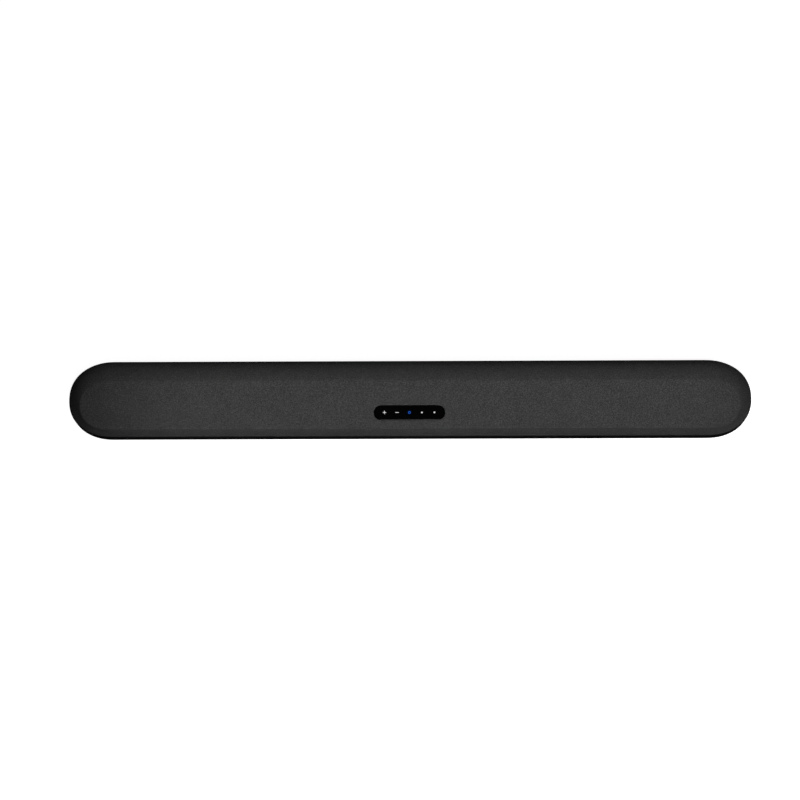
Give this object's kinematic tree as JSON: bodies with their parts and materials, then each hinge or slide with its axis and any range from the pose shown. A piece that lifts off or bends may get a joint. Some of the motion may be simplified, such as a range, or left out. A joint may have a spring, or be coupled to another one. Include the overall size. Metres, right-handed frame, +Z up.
{
  "type": "soundbar",
  "caption": "Slim low soundbar with round ends, a charcoal fabric cover that rolls down to the back, a black base and a gloss black touch panel on top.",
  "frame": {"origin": "middle of the bar's outline, at the underside of its feet", "axes": "+X along the bar to the listener's right, -Y towards the listener, +Y to the curved back with the sockets, +Z up"},
  "size_m": [1.02, 0.115, 0.0632],
  "materials": {
    "charcoal_fabric": "dark charcoal melange knit, stretched tight, matt",
    "base_plastic": "black moulded plastic, fine satin grain",
    "frame_plastic": "black moulded plastic, plain",
    "panel_gloss": "piano black, polished",
    "icon_white": "pale translucent inlay, faintly lit",
    "icon_blue": "translucent inlay lit blue",
    "clear_plastic": "clear acrylic light guide",
    "ribbon_plastic": "flat flexible cable, pale sleeve",
    "cabinet_plastic": "dark grey moulded plastic",
    "circuit_board": "green solder mask over glass fibre",
    "steel": "plain pressed steel",
    "black_steel": "steel with a black coat",
    "aluminium": "plain extrusion",
    "ferrite": "dark sintered magnet and steel plates",
    "cone_paper": "pressed fibre cone with its coil",
    "dome_silk": "coated silk dome with its coil",
    "soft_rubber": "soft matt rubber",
    "capacitor_sleeve": "aluminium can in a dark sleeve",
    "socket_plastic": "black moulded plastic"
  },
  "bodies": {
    "bar": {"amplifier_heat_sink": "aluminium", "base_housing": "base_plastic", "bulk_capacitor": "capacitor_sleeve", "case_screw_front_left": "black_steel", "case_screw_front_right": "black_steel", "case_screw_rear_left": "black_steel", "case_screw_rear_right": "black_steel", "connector_panel": "black_steel", "fabric_cover": "charcoal_fabric", "foot_front_left": "soft_rubber", "foot_front_right": "soft_rubber", "foot_rear_left": "soft_rubber", "foot_rear_right": "soft_rubber", "grille_frame": "frame_plastic", "hdmi_socket": "steel", "keyhole_plate_left": "steel", "keyhole_plate_right": "steel", "left_box_lid": "cabinet_plastic", "left_lamp": "icon_white", "left_speaker_box": "cabinet_plastic", "left_top_driver_basket": "black_steel", "left_top_driver_motor": "ferrite", "left_top_driver_surround": "soft_rubber", "left_tweeter_motor": "ferrite", "left_tweeter_plate": "frame_plastic", "left_woofer_basket": "black_steel", "left_woofer_motor": "ferrite", "left_woofer_surround": "soft_rubber", "light_guide": "clear_plastic", "main_board": "circuit_board", "mains_inlet": "socket_plastic", "minus_icon": "icon_white", "optical_socket": "socket_plastic", "plus_icon": "icon_white", "power_board": "circuit_board", "power_transformer": "ferrite", "processor_shield": "steel", "right_box_lid": "cabinet_plastic", "right_lamp": "icon_white", "right_speaker_box": "cabinet_plastic", "right_top_driver_basket": "black_steel", "right_top_driver_motor": "ferrite", "right_top_driver_surround": "soft_rubber", "right_tweeter_motor": "ferrite", "right_tweeter_plate": "frame_plastic", "right_woofer_basket": "black_steel", "right_woofer_motor": "ferrite", "right_woofer_surround": "soft_rubber", "ring_light": "icon_blue", "touch_board": "circuit_board", "touch_panel": "panel_gloss", "touch_ribbon_cable": "ribbon_plastic", "wireless_module": "steel"},
    "left_woofer_cone": {"left_woofer_cone": "cone_paper"},
    "left_top_driver_cone": {"left_top_driver_cone": "cone_paper"},
    "left_tweeter_dome": {"left_tweeter_dome": "dome_silk"},
    "right_woofer_cone": {"right_woofer_cone": "cone_paper"},
    "right_top_driver_cone": {"right_top_driver_cone": "cone_paper"},
    "right_tweeter_dome": {"right_tweeter_dome": "dome_silk"}
  },
  "joints": [
    {"name": "left_woofer_travel", "type": "slide", "parent": "bar", "child": "left_woofer_cone", "axis": [0, -1, 0], "range_m": [-0.0025, 0.0025], "stiffness_N_per_m": 1500, "deforming": ["left_woofer_surround"]},
    {"name": "left_top_driver_travel", "type": "slide", "parent": "bar", "child": "left_top_driver_cone", "axis": [0, 0, 1], "range_m": [-0.0025, 0.0025], "stiffness_N_per_m": 1500, "deforming": ["left_top_driver_surround"]},
    {"name": "left_tweeter_travel", "type": "slide", "parent": "bar", "child": "left_tweeter_dome", "axis": [0, -1, 0], "range_m": [-0.0003, 0.0003], "stiffness_N_per_m": 1500},
    {"name": "right_woofer_travel", "type": "slide", "parent": "bar", "child": "right_woofer_cone", "axis": [0, -1, 0], "range_m": [-0.0025, 0.0025], "stiffness_N_per_m": 1500, "deforming": ["right_woofer_surround"]},
    {"name": "right_top_driver_travel", "type": "slide", "parent": "bar", "child": "right_top_driver_cone", "axis": [0, 0, 1], "range_m": [-0.0025, 0.0025], "stiffness_N_per_m": 1500, "deforming": ["right_top_driver_surround"]},
    {"name": "right_tweeter_travel", "type": "slide", "parent": "bar", "child": "right_tweeter_dome", "axis": [0, -1, 0], "range_m": [-0.0003, 0.0003], "stiffness_N_per_m": 1500}
  ]
}
